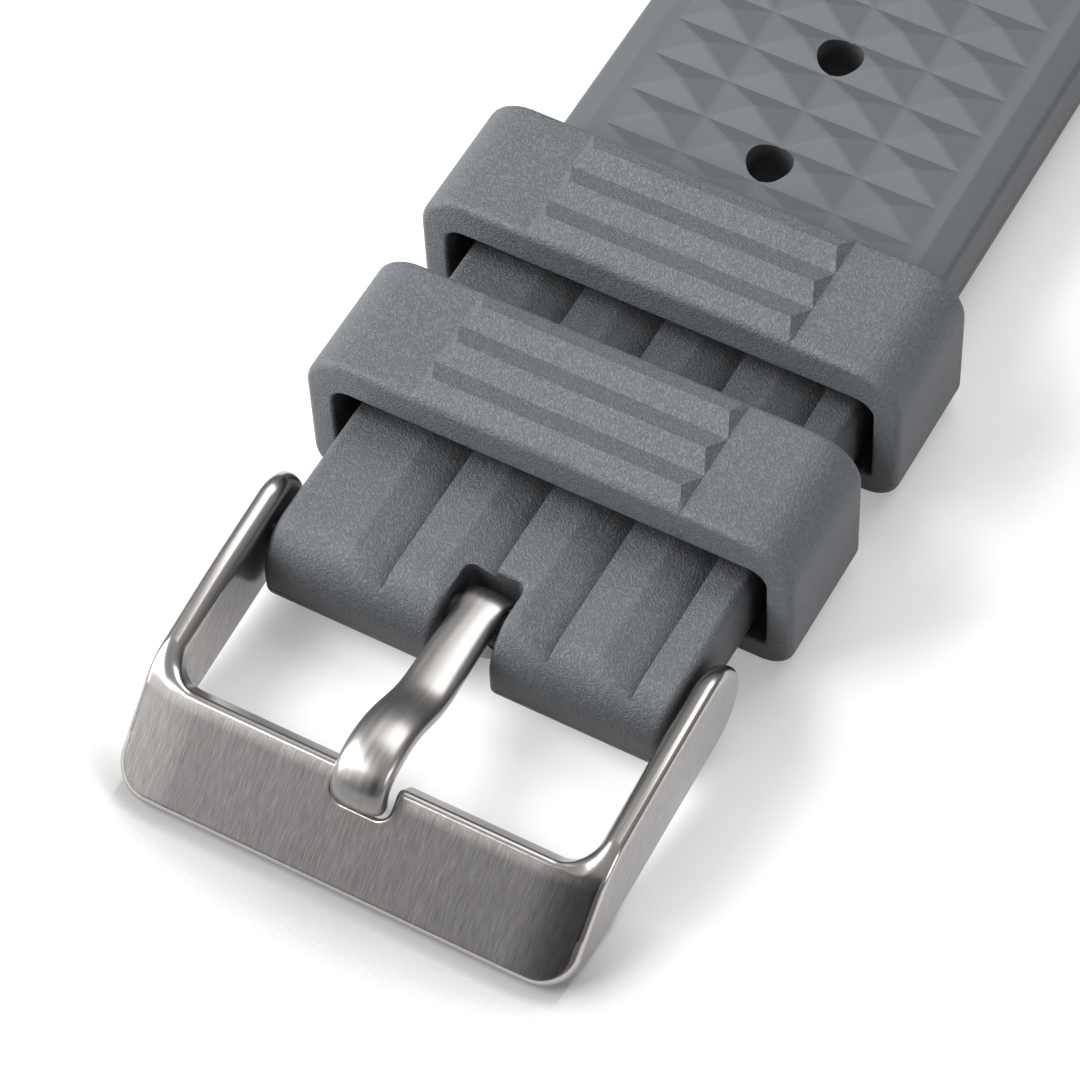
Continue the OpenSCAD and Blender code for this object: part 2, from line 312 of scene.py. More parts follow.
rubberKinds = {
    # fineness of the grain, where the pyramid field's smooth rubber starts, and the seam's depth
    "strapRubber": (1.0, 23.0, 0.08),
    "keeperRubber": (0.9, 200.0, 0.0),  # a start far off, as a keeper has neither field nor seam
}


def makeRubber(name, looks, coarse, fieldStart, seamDepth):
    material, tree, shader, place = newMaterial(name)
    along, up = split(tree, place)[1:]
    field = [(barY + fieldStart + side * looks["fieldBlur"]) * mm for side in (-1, 1)]

    bends = noise(tree, place, looks["grain"] * coarse, 1.0, 0.5, 0.5)
    worms = calc(tree, "SINE", calc(tree, "MULTIPLY", bends, looks["wrinkles"]))
    specks = noise(tree, place, looks["specks"], 2.0, 0.6)
    height = calc(tree, "MULTIPLY_ADD", specks, looks["speckHeight"], worms)
    depth = remap(tree, along, *field, looks["grainDepth"] * mm, looks["smoothDepth"] * mm)
    fromSeam = calc(tree, "ABSOLUTE", calc(tree, "SUBTRACT", up, looks["seamZ"] * mm))
    seamSide = [edge * mm for edge in looks["seamSide"]]
    groove = remap(tree, fromSeam, *seamSide, -seamDepth * mm, 0.0)
    addBump(tree, shader, calc(tree, "MULTIPLY_ADD", height, depth, groove))

    cloud = noise(tree, place, looks["clouds"], 3.0, 0.6)
    shade = calc(tree, "MULTIPLY_ADD", specks, 0.5, calc(tree, "MULTIPLY", cloud, 0.5))
    plain = tint(tree, shade, looks["dark"], looks["light"])
    # Painted shade: the colour is darkened where a cover stands close over the rubber
    coverShade = remap(tree, openness(tree, looks["coverShade"]), *looks["covered"], looks["shaded"], 1.0)
    # Painted shade: the foot of the nose is darkened in the colour
    noseFrom, noseTo = [(barY + y) * mm for y in looks["nose"]]
    nose = remap(tree, along, noseFrom, noseTo, looks["paintedNoseShade"], 1.0)
    fieldTone = remap(tree, along, *field, 1.0, looks["fieldShade"])
    # Painted shade in the grain's hollows, kept only in part in the pyramid field
    hollowShade = calc(tree, "MULTIPLY", worms, remap(tree, along, *field, 1.0, looks["smoothShade"]))
    hollowShade = calc(tree, "MULTIPLY_ADD", hollowShade, looks["grainShade"], 1.0)
    share = product(tree, coverShade, nose, fieldTone, hollowShade)
    tree.links.new(dimmed(tree, plain, share), shader.inputs["Base Color"])
    tree.links.new(remap(tree, worms, -1.0, 1.0, *looks["rough"]), shader.inputs["Roughness"])
    shader.inputs["Specular IOR Level"].default_value = looks["specular"]
    return material


steelLooks = {
    "dark": (0.33, 0.317, 0.308),
    "light": (0.58, 0.561, 0.548),
    "strokes": 20000,  # strokes per metre across the brushing
    "broad": 6000,  # broader strokes among them
    "fineShare": 0.78,
    "slant": -44.0,  # degrees, the slope of the face that is brushed
    "satin": (0.245, 0.262),  # roughness along the brushed faces
    "polish": (0.20, 0.23),  # roughness of the smoother edges
    "edgeTone": 0.42,  # the edges' colour, from dark at 0 to light at 1
    "strokeDepth": (0.0002, 0.0001),  # mm, on the faces and on the edges
}


def makeBrushed(name, looks):
    material, tree, shader, place = newMaterial(name)
    slant = math.radians(looks["slant"])
    fine = noise(tree, place, looks["strokes"], 3.0, 0.65, 0.0, (1.0, 0.06, 0.6), slant)
    broad = noise(tree, place, looks["broad"], 2.0, 0.6, 0.0, (1.0, 0.08, 0.8), slant)
    strokes = mixed(tree, looks["fineShare"], broad, fine)
    polish = addNode(tree, "ShaderNodeAttribute", attribute_name="polish").outputs["Fac"]
    satin = remap(tree, strokes, *noiseSpan, *looks["satin"])
    bright = remap(tree, strokes, *noiseSpan, *looks["polish"])
    tree.links.new(mixed(tree, polish, satin, bright), shader.inputs["Roughness"])
    brushing = remap(tree, strokes, *noiseSpan, 0.0, 1.0)
    tone = mixed(tree, polish, brushing, looks["edgeTone"])
    tree.links.new(tint(tree, tone, looks["dark"], looks["light"]), shader.inputs["Base Color"])
    faceDepth, edgeDepth = looks["strokeDepth"]
    depth = remap(tree, polish, 0.0, 1.0, faceDepth * mm, edgeDepth * mm)
    addBump(tree, shader, calc(tree, "MULTIPLY", strokes, depth))
    shader.inputs["Metallic"].default_value = 1.0
    return material


polishedLooks = {
    # light and dark tone, roughness, and how far the lines are drawn out along each axis
    "tongueSteel": ((0.50, 0.484, 0.472), (0.31, 0.299, 0.29), 0.31, (1.0, 0.05, 0.1)),
    "turnedSteel": ((0.62, 0.62, 0.61), (0.46, 0.46, 0.46), 0.26, (1.0, 0.03, 0.03)),
    "wireSteel": ((0.52, 0.51, 0.50), (0.36, 0.36, 0.36), 0.30, (0.3, 1.0, 1.0)),
}
lineLooks = {"lines": 4200, "depth": 0.0012, "change": 0.1}  # per metre, mm, share of the roughness


def makePolished(name, light, dark, rough, stretch):
    material, tree, shader, place = newMaterial(name)
    lines = noise(tree, place, lineLooks["lines"], 3.0, 0.6, 0.0, stretch)
    change = rough * lineLooks["change"]
    roughness = remap(tree, lines, *noiseSpan, rough - change, rough + change)
    tree.links.new(roughness, shader.inputs["Roughness"])
    tree.links.new(tint(tree, lines, dark, light), shader.inputs["Base Color"])
    addBump(tree, shader, calc(tree, "MULTIPLY", lines, lineLooks["depth"] * mm))
    shader.inputs["Metallic"].default_value = 1.0
    return material


strapRubber, keeperRubber = [makeRubber(name, rubberLooks, *kind) for name, kind in rubberKinds.items()]
brushedSteel = makeBrushed("brushedSteel", steelLooks)
tongueSteel, turnedSteel, wireSteel = [makePolished(name, *looks) for name, looks in polishedLooks.items()]
print("materials are ready")


# Strap: a side view swept across, with the relief and the cuts added by node trees

strapValues = {
    "width": 20.0,
    "low": 1.45,
    "top": 5.3,
    "nose": -2.15,
    "noseRadius": 2.3,
    "chinRadius": 0.6,
    "end": 77.4,
    "endRadius": 2.1,
    "thickFrom": 65.0,
    "taperFrom": 56.0,
    "edgeRadius": 0.45,
    "fieldEdgeRadius": 0.3,
    "joinFrom": 22.2,
    "joinTo": 22.6,
    "carveFrom": 2.2,  # height on the nose where the flutes start
    "sharpFrom": 48,  # degrees, folds steeper than this stay sharp, here and on the other pieces
}
fluteValues = {"count": 4, "pitch": 4.1, "width": 2.2, "wall": 0.1, "depth": 0.6, "lastX": 8.2,
               "end": 21.8, "fade": 0.4, "softness": 0.05,
               "makeUp": 1.1}  # gives back the depth that the softness takes
fieldValues = {"start": 23.6, "columns": 4, "rows": 18, "cellWidth": 4.0, "cellLength": 2.4,
               "height": 0.55, "steps": 10, "bevelWidth": 1.4, "bevelHeight": 0.55, "bevelStart": 0.3}
slotValues = {"width": 2.9, "reach": 1.6, "cornerRadius": 0.45, "edgeRadius": 0.3,
              "front": -4.0, "heights": (0.5, 7.0)}
holeValues = {"radius": 1.1, "flare": 0.012, "first": 27.2, "spacing": 7.2, "count": 6, "sides": 40}
boreValues = {"radius": 0.8, "halfLength": 11.0}


def strapProfile():
    # Rows lie close together where a cut, a flute or the pyramid field ends
    v, field = strapValues, fieldValues
    low, top, nose, end = v["low"], v["top"], v["nose"], v["end"]
    chin, brow, tail = v["chinRadius"], v["noseRadius"], v["endRadius"]
    rows = [(y, low, 0.0, -1.0) for y in (v["joinFrom"], 18, 14, 10, 6, 3, 1.2, -0.4)]
    rows += arcPoints((nose + chin, low + chin), chin, -90, -180, 6)
    rows += [(nose, z, -1.0, 0.0) for z in (2.3, 2.6)]
    rows += arcPoints((nose + brow, top - brow), brow, 180, 90, 18)
    near = [0.4, 0.7, 1.0, 1.2, 1.35, 1.48, 1.56, 1.62, 1.68, 1.75, 1.83, 1.93, 2.1, 2.5]
    far = list(np.arange(3.0, 21.2, 0.6)) + [21.4, 21.5, 21.6, 21.7, 21.8, 21.95, v["joinFrom"]]
    front = rows + [(y, top, 0.0, 1.0) for y in near + far]

    halfCell = 2 * field["steps"]
    fieldY = [field["start"] + field["cellLength"] * k / halfCell
              for k in range(field["rows"] * halfCell + 1)]
    plainY = [67.3, 68.5, 70, 72, 73.5, 74.6]
    back = [(y, top, 0.0, 1.0) for y in [v["joinTo"], 22.75, 22.9, 23.2] + fieldY + plainY]
    back += arcPoints((end - tail, top - tail), tail, 90, 0, 14)
    back += arcPoints((end - tail, tail), tail, 0, -90, 14)
    back += [(y, 0.0, 0.0, -1.0) for y in (73, 70, 67, 65.6)]
    slope = low / (v["thickFrom"] - v["taperFrom"])
    for y in (v["thickFrom"], 64.4, 62, 59, 56.6, v["taperFrom"]):
        back.append((y, (v["thickFrom"] - y) * slope, 0.0, -1.0))
    back += [(y, low, 0.0, -1.0) for y in (55.4, 50, 44, 38, 32, 26, v["joinTo"])]
    return np.array(front), np.array(back)


def columnsAcross(flat):
    # An edge column is kept as the angle round the strap's long edges
    angles = [math.radians(a) for a in (15, 30, 45, 60, 75, 90)]
    flat = sorted(set(round(x, 4) for x in flat))
    columns = [(-1, a, 0.0) for a in reversed(angles)]
    columns += [(0, 0.0, x) for x in flat]
    return columns + [(1, a, 0.0) for a in angles]


def frontColumns():
    # Columns lie close together at each flute's steep side and foot, and at the slot's edges
    flute = fluteValues
    flat = list(np.arange(-9.5, 9.51, 0.5)) + [-9.54, 9.54]
    for i in range(flute["count"]):
        steep = flute["lastX"] - i * flute["pitch"]
        flat += [steep + d for d in (0.05, 0, -0.03, -0.06, -0.1, -0.16)]
        flat += [steep - flute["width"] + d for d in (-0.3, -0.14, -0.05, 0, 0.05, 0.14, 0.26, 0.42)]
    edge = slotValues["width"] / 2
    flat += [side * (edge + d) for side in (-1, 1) for d in (-0.3, 0, 0.02, 0.06, 0.12, 0.2, 0.3)]
    return columnsAcross(flat)


def backColumns():
    field = fieldValues
    count = field["columns"] * 2 * field["steps"]
    width = field["columns"] * field["cellWidth"]
    inField = [-width / 2 + width * k / count for k in range(count + 1)]
    outer = [-9.68, -9.5, -9.1, -8.7, -8.6, -8.5, -8.25]
    return columnsAcross(inField + outer + [-x for x in outer])


def sweepAcross(profile, columns, isField):
    v, field, slot = strapValues, fieldValues, slotValues
    radius = v["fieldEdgeRadius"] if isField else v["edgeRadius"]
    corner, edge = slot["cornerRadius"], slot["edgeRadius"]
    half = v["width"] / 2
    points = []
    for y, z, ny, nz in profile:
        for side, angle, x in columns:
            sink = 0.0
            if side:
                x = side * (half - radius * (1 - math.sin(angle)))
                sink = radius * (1 - math.cos(angle))
            away = roundedCorner(abs(x) - slot["width"] / 2 + corner, y - slot["reach"] + corner, corner)
            near = min(max(edge - away, 0), edge)
            sink += edge - math.sqrt(edge ** 2 - near ** 2)
            py, pz = y - ny * sink, z - nz * sink
            if isField and nz > -0.1:
                # Beside the pyramids the top slopes down to the strap's long edges
                start = min(max((y - v["joinTo"]) / field["bevelStart"], 0), 1)
                out = max(abs(x) - half + field["bevelWidth"], 0) / field["bevelWidth"]
                pz = min(pz, v["top"] - field["bevelHeight"] * out * start - (sink if nz > 0.99 else 0))
            points.append((x, py, pz))
    return points


def gridFaces(rows, columns, start, creases=None):
    faces = []
    for i in range(rows - 1):
        for j in range(columns - 1):
            a = start + i * columns + j
            quad = (a, a + 1, a + columns + 1, a + columns)
            turn = creases(i, j) if creases else 0
            if turn > 0:
                faces += [quad[:3], (quad[0], quad[2], quad[3])]
            elif turn < 0:
                faces += [(quad[0], quad[1], quad[3]), quad[1:]]
            else:
                faces.append(quad)
    return faces


def zipRows(first, firstX, second, secondX):
    faces = []
    i = j = 0
    while i < len(first) - 1 or j < len(second) - 1:
        goFirst = j == len(second) - 1 or (i < len(first) - 1 and firstX[i + 1] <= secondX[j + 1])
        if goFirst:
            faces.append((first[i], first[i + 1], second[j]))
            i += 1
        else:
            faces.append((first[i], second[j + 1], second[j]))
            j += 1
    return faces


def strapBody():
    field = fieldValues
    front, back = strapProfile()
    frontAcross, backAcross = frontColumns(), backColumns()
    points = sweepAcross(front, frontAcross, False) + sweepAcross(back, backAcross, True)
    frontRows, backRows = len(front), len(back)
    frontWide, backWide = len(frontAcross), len(backAcross)
    fieldEdge = -field["columns"] * field["cellWidth"] / 2
    firstRow = next(i for i, row in enumerate(back) if abs(row[0] - field["start"]) < 1e-6)
    firstColumn = next(j for j, (side, angle, x) in enumerate(backAcross)
                       if side == 0 and abs(x - fieldEdge) < 1e-6)
    cell = 2 * field["steps"]

    def crease(i, j):
        # A quad on a pyramid's diagonal is cut along that diagonal
        u, w = i - firstRow, j - firstColumn
        if not (0 <= u < field["rows"] * cell and 0 <= w < field["columns"] * cell):
            return 0
        du, dw = u % cell, w % cell
        rising = 1 if (du < field["steps"]) == (dw < field["steps"]) else -1
        return rising if min(du, cell - 1 - du) == min(dw, cell - 1 - dw) else 0

    base = frontRows * frontWide
    faces = gridFaces(frontRows, frontWide, 0) + gridFaces(backRows, backWide, base, crease)
    frontX = [points[k][0] for k in range(frontWide)]
    backX = [points[base + k][0] for k in range(backWide)]
    firstFront = list(range(frontWide))
    lastFront = [base - frontWide + k for k in range(frontWide)]
    firstBack = [base + k for k in range(backWide)]
    lastBack = [len(points) - backWide + k for k in range(backWide)]
    faces += zipRows(lastFront, frontX, firstBack, backX)
    faces += zipRows(lastBack, backX, firstFront, frontX)
    leftRim = list(range(0, base, frontWide)) + list(range(base, len(points), backWide))
    rightRim = list(range(frontWide - 1, base, frontWide))
    rightRim += list(range(base + backWide - 1, len(points), backWide))
    faces += [tuple(reversed(leftRim)), tuple(rightRim)]

    piece = newPiece("rubberStrap", points, faces, strapRubber, "strap_body")
    frontTop = (front[:, 3] > 0) | ((front[:, 2] < -0.9) & (front[:, 1] > strapValues["carveFrom"]))
    backTop = back[:, 3] > 0.99
    storeValue(piece.data, "onTop",
               np.concatenate([np.repeat(frontTop, frontWide), np.repeat(backTop, backWide)]))
    tidyNormals(piece)
    return piece


def reliefTree():
    tree, given, out = newTree("strapRelief", dict.fromkeys((
        "Bar along", "Top", "Flute last x", "Flute pitch", "Flute count", "Flute width", "Flute wall",
        "Flute depth", "Flute end", "Flute fade", "Flute softness", "Flute make-up", "Field start",
        "Cell width", "Cell length", "Columns", "Rows", "Pyramid height"), "Float"))
    across, fromMiddle, up = meshPlace(tree)
    along = calc(tree, "SUBTRACT", fromMiddle, given["Bar along"])
    onTop = stored(tree, "onTop")

    # Flutes: how far the floor of the flute lies under the surface, rounded off at the start
    fromLast = calc(tree, "SUBTRACT", given["Flute last x"], across)
    share = calc(tree, "DIVIDE", fromLast, given["Flute pitch"])
    gone = calc(tree, "MULTIPLY", calc(tree, "FRACT", share), given["Flute pitch"])
    wall = calc(tree, "DIVIDE", gone, given["Flute wall"])
    ramp = calc(tree, "DIVIDE", calc(tree, "SUBTRACT", given["Flute width"], gone),
                calc(tree, "SUBTRACT", given["Flute width"], given["Flute wall"]))
    shape = calc(tree, "MAXIMUM", calc(tree, "MINIMUM", wall, ramp), 0.0)
    inRow = calc(tree, "MULTIPLY", calc(tree, "GREATER_THAN", share, -1e-6),
                 calc(tree, "LESS_THAN", share, given["Flute count"]))
    fadeFrom = calc(tree, "SUBTRACT", given["Flute end"], given["Flute fade"])
    fade = remap(tree, along, fadeFrom, given["Flute end"], 1.0, 0.0)
    floorDepth = product(tree, shape, given["Flute depth"], inRow, fade)
    under = calc(tree, "SUBTRACT", given["Top"], up)
    carve = calc(tree, "MAXIMUM", calc(tree, "SUBTRACT", floorDepth, under), 0.0)
    soft = calc(tree, "DIVIDE", calc(tree, "MULTIPLY", carve, carve),
                calc(tree, "MAXIMUM", calc(tree, "ADD", carve, given["Flute softness"]), 1e-7))
    soft = product(tree, soft, given["Flute make-up"], onTop)

    # Pyramids: a tent across meets a tent along, and the lower one wins
    width = calc(tree, "MULTIPLY", given["Columns"], given["Cell width"])
    length = calc(tree, "MULTIPLY", given["Rows"], given["Cell length"])
    fromSide = calc(tree, "ADD", across, calc(tree, "MULTIPLY", width, 0.5))
    fromStart = calc(tree, "SUBTRACT", along, given["Field start"])
    tents = []
    inside = onTop
    for place, cell, reach in ((fromSide, "Cell width", width), (fromStart, "Cell length", length)):
        tents.append(tent(tree, place, given[cell]))
        inside = product(tree, inside, calc(tree, "GREATER_THAN", place, 0.0),
                         calc(tree, "LESS_THAN", place, reach))
    peak = product(tree, calc(tree, "MINIMUM", *tents), given["Pyramid height"], inside)
    endTree(tree, lifted(tree, given["Mesh"], calc(tree, "SUBTRACT", peak, soft)), strapRubber, out[0])
    return tree


def cutTree():
    tree, given, out = newTree("strapCuts", {
        "Cuts": "Object", "Hole": "Object", "Hole count": "Int", "Hole spacing": "Float"})
    step = vector(tree, {1: given["Hole spacing"]})
    line = addNode(tree, "GeometryNodeMeshLine", {
        "Count": given["Hole count"], "Offset": step}, mode="OFFSET")
    hole = addNode(tree, "GeometryNodeObjectInfo", {"Object": given["Hole"]})
    cuts = addNode(tree, "GeometryNodeObjectInfo", {"Object": given["Cuts"]})
    holes = addNode(tree, "GeometryNodeInstanceOnPoints", {
        "Points": line.outputs[0], "Instance": hole.outputs["Geometry"]})
    holes = addNode(tree, "GeometryNodeRealizeInstances", {0: holes.outputs[0]})
    cut = addNode(tree, "GeometryNodeMeshBoolean", operation="DIFFERENCE", solver="MANIFOLD")
    tree.links.new(given["Mesh"], cut.inputs["Mesh 1"])
    tree.links.new(holes.outputs[0], cut.inputs["Mesh 2"])
    tree.links.new(cuts.outputs["Geometry"], cut.inputs["Mesh 2"])
    endTree(tree, cut.outputs["Mesh"], strapRubber, out[0])
    return tree


def cutterPiece(name, parts):
    points, faces = [], []
    for somePoints, someFaces in parts:
        faces += [tuple(i + len(points) for i in face) for face in someFaces]
        points += somePoints
    piece = newPiece(name, points, faces, strapRubber, "strap_body")
    tidyNormals(piece)
    return piece


def slotCutter():
    slot, bore = slotValues, boreValues
    half, corner = slot["width"] / 2, slot["cornerRadius"]
    outline = [(-half, slot["front"]), (half, slot["front"])]
    for x, start in ((half - corner, 0), (corner - half, 90)):
        outline += [p[:2] for p in arcPoints((x, slot["reach"] - corner), corner, start, start + 90, 8)]
    points = [(x, y, z) for z in slot["heights"] for x, y in outline]
    reach, radius = bore["halfLength"], bore["radius"]
    profile = [(-reach, 0), (reach, 0), (reach, radius), (-reach, radius)]
    bores = [lathed(profile, y, z) for y, z in ((0, barZ), (lugY, lugZ))]
    return cutterPiece("slotCut", [(points, tubeFaces(2, len(outline)))] + bores)


def holeCutter():
    # One hole, flared a little at its mouth
    hole = holeValues
    r, flare, sides = hole["radius"], hole["flare"], hole["sides"]
    top = strapValues["top"] + 0.05
    rings = [(-1.0, r), (top - 0.45, r), (top - 0.25, r + flare * 0.3), (top - 0.1, r + flare * 0.8),
             (top + 0.1, r + flare * 1.6), (top + 1.5, r + flare * 4)]
    points = []
    for z, radius in rings:
        for k in range(sides):
            a = 2 * math.pi * k / sides
            points.append((radius * math.cos(a), hole["first"] + radius * math.sin(a), z))
    return cutterPiece("holeCut", [(points, tubeFaces(len(rings), sides))])


def makeStrap():
    flute, field, hole = fluteValues, fieldValues, holeValues
    piece = strapBody()
    runTree(piece, reliefTree(), {
        "Bar along": barY * mm, "Top": strapValues["top"] * mm, "Flute last x": flute["lastX"] * mm,
        "Flute pitch": flute["pitch"] * mm, "Flute count": float(flute["count"]),
        "Flute width": flute["width"] * mm, "Flute wall": flute["wall"] * mm,
        "Flute depth": flute["depth"] * mm, "Flute end": flute["end"] * mm, "Flute fade": flute["fade"] * mm,
        "Flute softness": flute["softness"] * mm, "Flute make-up": flute["makeUp"],
        "Field start": field["start"] * mm, "Cell width": field["cellWidth"] * mm,
        "Cell length": field["cellLength"] * mm, "Columns": float(field["columns"]),
        "Rows": float(field["rows"]), "Pyramid height": field["height"] * mm})
    cutters = {"Cuts": slotCutter(), "Hole": holeCutter()}
    runTree(piece, cutTree(), {**cutters, "Hole count": hole["count"], "Hole spacing": hole["spacing"] * mm})
    for cutter in cutters.values():
        bpy.data.objects.remove(cutter)
    softEdges(piece, strapValues["sharpFrom"])
    return piece


strap = makeStrap()
print("strap:", len(strap.data.polygons), "faces")


# Keepers: one closed loop with a round-edged section, ridged by a node tree

keeperValues = {
    "frontStart": 5.85, "rearStart": 16.1,
    "width": 24.4, "inWidth": 21.7, "floor": 1.4, "inTop": 6.6, "top": 8.65, "depth": 6.7,
    "radius": 2.3, "lowRadius": 1.6, "windowRadius": 0.9, "windowLowRadius": 0.3,
    "edge": 0.34, "inEdge": 0.2, "ridges": 3, "ridgeHeight": 0.4, "ridgeLength": 13.4, "hip": 0.52,
    "fractions": (0, 0.05, 0.25, 0.5, 0.75, 0.95, 1),  # rows on a ridge's side and on its hip
    "sharpFrom": 26,
}


def loopAround(width, low, high, lowRadius, highRadius, topX):
    half = width / 2
    sideTop, sideLow = high - highRadius, low + lowRadius
    rows = [(x, high, 0.0, 1.0) for x in topX]
    rows += arcPoints((half - highRadius, sideTop), highRadius, 90, 0, 10)
    rows += [(half, sideTop - (sideTop - sideLow) * share, 1.0, 0.0) for share in (0.25, 0.5, 0.75)]
    rows += arcPoints((half - lowRadius, sideLow), lowRadius, 0, -90, 10)
    rows += [(half * share, low, 0.0, -1.0) for share in (0.6, 0.3, 0.0, -0.3, -0.6)]
    rows += arcPoints((lowRadius - half, sideLow), lowRadius, -90, -180, 10)
    rows += [(-half, sideTop - (sideTop - sideLow) * share, -1.0, 0.0) for share in (0.75, 0.5, 0.25)]
    rows += arcPoints((highRadius - half, sideTop), highRadius, 180, 90, 10)
    return rows


def rimRows(isOuter, edge, depth=None):
    # A quarter round from a keeper's rim inwards, at its start or, with a depth, at its end
    rows = []
    for degrees in (0, 18, 36, 54, 72, 90):
        a = math.radians(degrees)
        y = edge * (1 - math.cos(a))
        rows.append((isOuter, y if depth is None else depth - y, edge * (1 - math.sin(a))))
    return rows


def keeperSection():
    # Rows round the loop's wall: whether it is the outside, place along and how deep it is sunk
    v = keeperValues
    shares, depth, edge, inEdge = v["fractions"][:-1], v["depth"], v["edge"], v["inEdge"]
    pitch = depth / v["ridges"]
    falls = v["fractions"][::-1][:-1]
    rows = [pitch * (i + share) for i in range(v["ridges"])
            for share in [rise / 2 for rise in shares] + [1 - fall / 2 for fall in falls]]
    section = rimRows(True, edge)
    section += [(True, y, 0.0) for y in rows if edge + 0.02 < y < depth - edge - 0.02]
    section += reversed(rimRows(True, edge, depth))
    section += rimRows(False, inEdge, depth)
    section += [(False, depth * share, 0.0) for share in (0.7, 0.3)]
    section += reversed(rimRows(False, inEdge))
    return section


def splitRidge(points, quad, start):
    # A quad that a hip's crease crosses is cut along the crease
    v = keeperValues
    pitch, half = v["depth"] / v["ridges"], v["ridgeLength"] / 2

    def onCrease(k):
        turns = (points[k][1] - start) / pitch
        height = 1 - abs(2 * (turns % 1) - 1)
        return abs(height - (half - abs(points[k][0])) / v["hip"]) < 0.01

    a, b, c, d = quad
    middleX = sum(points[k][0] for k in quad) / 4
    if half - v["hip"] <= abs(middleX) <= half:
        if onCrease(a) and onCrease(c):
            return [(a, b, c), (a, c, d)]
        if onCrease(b) and onCrease(d):
            return [(a, b, d), (b, c, d)]
    return [quad]


def ridgeTree():
    tree, given, out = newTree("keeperRidges", dict.fromkeys((
        "Start", "Pitch", "Ridge length", "Hip", "Height"), "Float"))
    across, along, up = meshPlace(tree)
    ridge = tent(tree, calc(tree, "SUBTRACT", along, given["Start"]), given["Pitch"])
    left = calc(tree, "SUBTRACT", calc(tree, "MULTIPLY", given["Ridge length"], 0.5),
                calc(tree, "ABSOLUTE", across))
    hip = calc(tree, "MAXIMUM", calc(tree, "DIVIDE", left, given["Hip"]), 0.0)
    height = product(tree, calc(tree, "MINIMUM", ridge, hip), given["Height"], stored(tree, "onRoof"))
    endTree(tree, lifted(tree, given["Mesh"], height), keeperRubber, out[0])
    return tree


def makeKeeper(name, start, body, tree):
    v = keeperValues
    halfRidge = v["ridgeLength"] / 2
    left = [-halfRidge - d for d in (1.6, 0.8, 0.3, 0.08)]
    left += [-halfRidge + v["hip"] * share for share in v["fractions"]]
    topX = left + [-4, -2, 0, 2, 4] + [-x for x in reversed(left)]
    outer = loopAround(v["width"], 0.0, v["top"], v["lowRadius"], v["radius"], topX)
    inner = loopAround(v["inWidth"], v["floor"], v["inTop"], v["windowLowRadius"], v["windowRadius"], topX)
    section = keeperSection()
    points, onRoof = [], []
    for outside, inside in zip(outer, inner):
        for isOuter, y, sink in section:
            x, z, nx, nz = outside if isOuter else inside
            sink = sink if isOuter else -sink
            points.append((x - nx * sink, start + y, z - nz * sink))
            onRoof.append(isOuter and nz > 0.999)
    count, wide = len(outer), len(section)
    faces = []
    for i in range(count):
        for j in range(wide):
            here, after = i * wide, (i + 1) % count * wide
            beside = (j + 1) % wide
            quad = (here + j, here + beside, after + beside, after + j)
            isRidge = all(onRoof[k] for k in quad[:3])
            faces += splitRidge(points, quad, start) if isRidge else [quad]
    piece = newPiece(name, points, faces, keeperRubber, body)
    storeValue(piece.data, "onRoof", onRoof)
    tidyNormals(piece)
    runTree(piece, tree, {
        "Start": (barY + start) * mm, "Pitch": v["depth"] / v["ridges"] * mm,
        "Ridge length": v["ridgeLength"] * mm, "Hip": v["hip"] * mm, "Height": v["ridgeHeight"] * mm})
    softEdges(piece, v["sharpFrom"])
    return piece


ridges = ridgeTree()
frontKeeper = makeKeeper("frontKeeperLoop", keeperValues["frontStart"], "front_keeper_body", ridges)
rearKeeper = makeKeeper("rearKeeperLoop", keeperValues["rearStart"], "rear_keeper_body", ridges)
print("keepers:", len(frontKeeper.data.polygons), "faces each")


# Buckle frame: an even skin drawn tight over a smooth rounded form

buckleValues = {
    "armInner": 10.25, "armOuter": 11.35, "armRadius": 2.35, "armEnd": 0.3,
    "bendY": -9.1, "bendRise": 1.475, "bendRadius": 1.0,
    "faceLength": 6.2, "faceAngle": 44.0, "barDrop": 0.7, "barThick": 1.5,
    "cornerRadius": 1.8, "openingRadius": 1.4, "backRadius": 0.4,
    "barEdge": 0.27, "armEdge": 0.32, "armInnerEdge": 0.74, "underEdge": 0.5, "sideEdge": 0.1,
    "lowEdge": 0.42, "lowFrom": 3.5,  # the face's low edge, and how far down the face it starts
    "armBlend": (9.2, 10.4),  # across the buckle, from the bar's edge to the arm's
    "pillow": 0.34, "pillowFrom": 8.3, "pillowBlend": (-5.0, 2.0),  # along the arm and down the face
    "notchWidth": 2.8, "notchLength": 1.6, "notchRadius": 0.6, "notchEdge": 0.2,
    "pinHole": 0.43, "pinDepth": 10.9,
    "skin": 0.1, "drawRounds": 10, "drawShare": 0.6,  # the skin's cells, and how it is drawn tight
    "satinFace": (0.80, 0.92), "satinSide": (0.90, 0.98),  # how squarely a brushed place faces out
    "satinRim": (0.1, 0.5),  # from the face's edge, where the brushing starts
}


def roundMax(a, b, radius):
    outside = np.hypot(np.maximum(a + radius, 0), np.maximum(b + radius, 0))
    return np.minimum(np.maximum(a, b), -radius) + outside


def smoothStep(value, low, high):
    share = np.clip((value - low) / (high - low), 0, 1)
    return share * share * (3 - 2 * share)


def planeThrough(y, z, first, second, inside):
    dy, dz = second[0] - first[0], second[1] - first[1]
    size = math.hypot(dy, dz)
    distance = ((y - first[0]) * dz - (z - first[1]) * dy) / size
    test = ((inside[0] - first[0]) * dz - (inside[1] - first[1]) * dy) / size
    return -distance if test > 0 else distance


def faceAxes(y, z):
    # How far a place lies down the slanted face from the bend, and how far into it
    v = buckleValues
    angle = math.radians(v["faceAngle"])
    dy, dz = y - v["bendY"], z - barZ - v["bendRise"]
    return -dy * math.cos(angle) - dz * math.sin(angle), dy * math.sin(angle) - dz * math.cos(angle)


